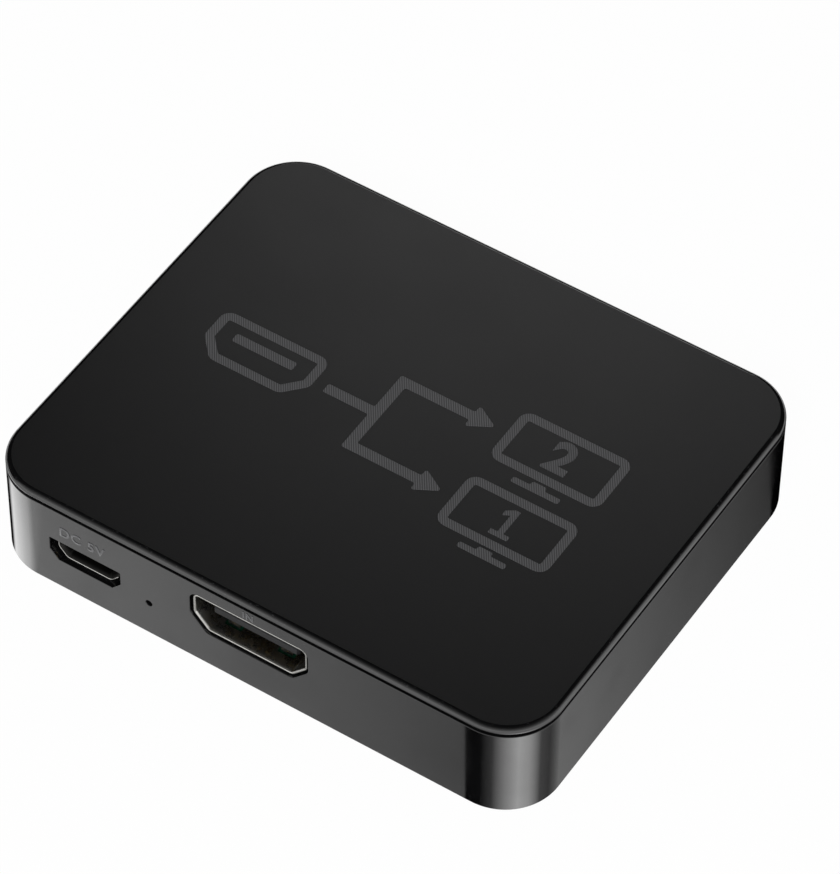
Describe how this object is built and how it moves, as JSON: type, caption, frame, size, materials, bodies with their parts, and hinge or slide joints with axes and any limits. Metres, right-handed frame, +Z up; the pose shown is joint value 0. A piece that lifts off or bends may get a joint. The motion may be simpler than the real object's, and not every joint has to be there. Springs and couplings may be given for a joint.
{
  "type": "hdmi splitter",
  "caption": "Flat black box with rounded corners that repeats a video input to several video outputs, with a power inlet, a pilot light and rubber feet.",
  "frame": {"origin": "under the middle of the case, in the plane that the rubber feet stand on", "axes": "+X along the front wall to its right-hand end, +Y from the front wall with the input to the back wall with the outputs, +Z up"},
  "size_m": [0.07, 0.058, 0.0148],
  "materials": {
    "case_gloss": "polished black",
    "lid_satin": "satin black",
    "screw_steel": "zinc plated",
    "foot_rubber": "matt black",
    "board_mask": "green solder mask",
    "shell_metal": "nickel plated",
    "insulator_black": "moulded black",
    "contact_gold": "gold plated",
    "led_white": "moulded white",
    "chip_black": "moulded epoxy",
    "lead_tin": "tinned",
    "crystal_can": "drawn can",
    "capacitor_tan": "fired ceramic",
    "resistor_black": "glazed black",
    "bulk_yellow": "moulded",
    "ferrite_grey": "sintered"
  },
  "bodies": {
    "root": {"bottom_case": "case_gloss", "top_cover": "lid_satin", "case_screws": "screw_steel", "rubber_feet": "foot_rubber", "main_board": "board_mask", "video_in_shell": "shell_metal", "video_in_insulator": "insulator_black", "video_in_contacts": "contact_gold", "video_out_1_shell": "shell_metal", "video_out_1_insulator": "insulator_black", "video_out_1_contacts": "contact_gold", "video_out_2_shell": "shell_metal", "video_out_2_insulator": "insulator_black", "video_out_2_contacts": "contact_gold", "power_socket_shell": "shell_metal", "power_socket_insulator": "insulator_black", "power_socket_contacts": "contact_gold", "status_led": "led_white", "splitter_chip": "chip_black", "splitter_chip_leads": "lead_tin", "memory_chip": "chip_black", "memory_chip_leads": "lead_tin", "voltage_regulator": "chip_black", "voltage_regulator_leads": "lead_tin", "clock_crystal": "crystal_can", "surge_arrays": "chip_black", "ceramic_capacitors": "capacitor_tan", "resistors": "resistor_black", "bulk_capacitor": "bulk_yellow", "ferrite_bead": "ferrite_grey", "part_end_caps": "lead_tin"}
  },
  "joints": []
}
